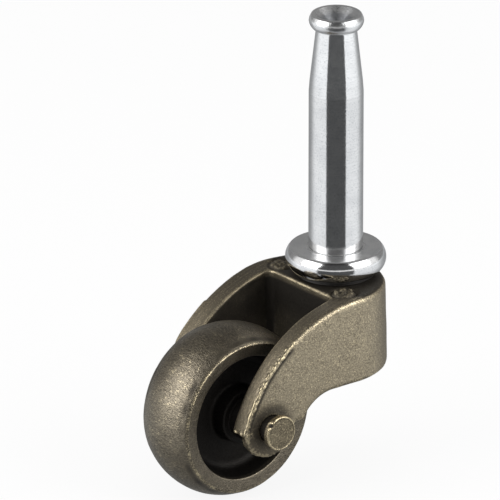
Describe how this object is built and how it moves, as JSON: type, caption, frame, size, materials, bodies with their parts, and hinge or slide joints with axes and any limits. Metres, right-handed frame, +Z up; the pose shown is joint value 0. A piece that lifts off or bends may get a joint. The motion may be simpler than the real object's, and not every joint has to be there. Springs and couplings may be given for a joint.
{
  "type": "socket castor",
  "caption": "Swivelling furniture castor with a cast fork and wheel and a grip-neck stem that pushes up into a leg socket.",
  "frame": {"origin": "centre of the collar's upper face, on the stem's axis, where the furniture leg's underside rests", "axes": "+Z up along the stem, -X towards the trailing wheel, Y along the wheel's axle"},
  "size_m": [0.0407, 0.0243, 0.0692],
  "materials": {
    "plated_steel": "bright nickel plate on turned steel",
    "dark_steel": "dark oiled steel",
    "antique_brass_fork": "antique brass plate on cast zinc, sandy, rubbed bright on its edges",
    "antique_brass_axle": "antique brass plate on a steel rivet",
    "antique_brass_wheel": "antique brass plate on cast zinc, brushed round its tread"
  },
  "bodies": {
    "stem": {"stem": "plated_steel", "thrust_washer": "dark_steel", "tail_washer": "dark_steel"},
    "fork": {"fork": "antique_brass_fork", "axle": "antique_brass_axle"},
    "wheel": {"wheel": "antique_brass_wheel"}
  },
  "joints": [
    {"name": "swivel", "type": "hinge", "parent": "stem", "child": "fork", "pos_m": [0, 0, 0], "axis": [0, 0, 1], "continuous": true},
    {"name": "wheel_spin", "type": "hinge", "parent": "fork", "child": "wheel", "pos_m": [-0.0206, 0, -0.01995], "axis": [0, 1, 0], "continuous": true}
  ]
}
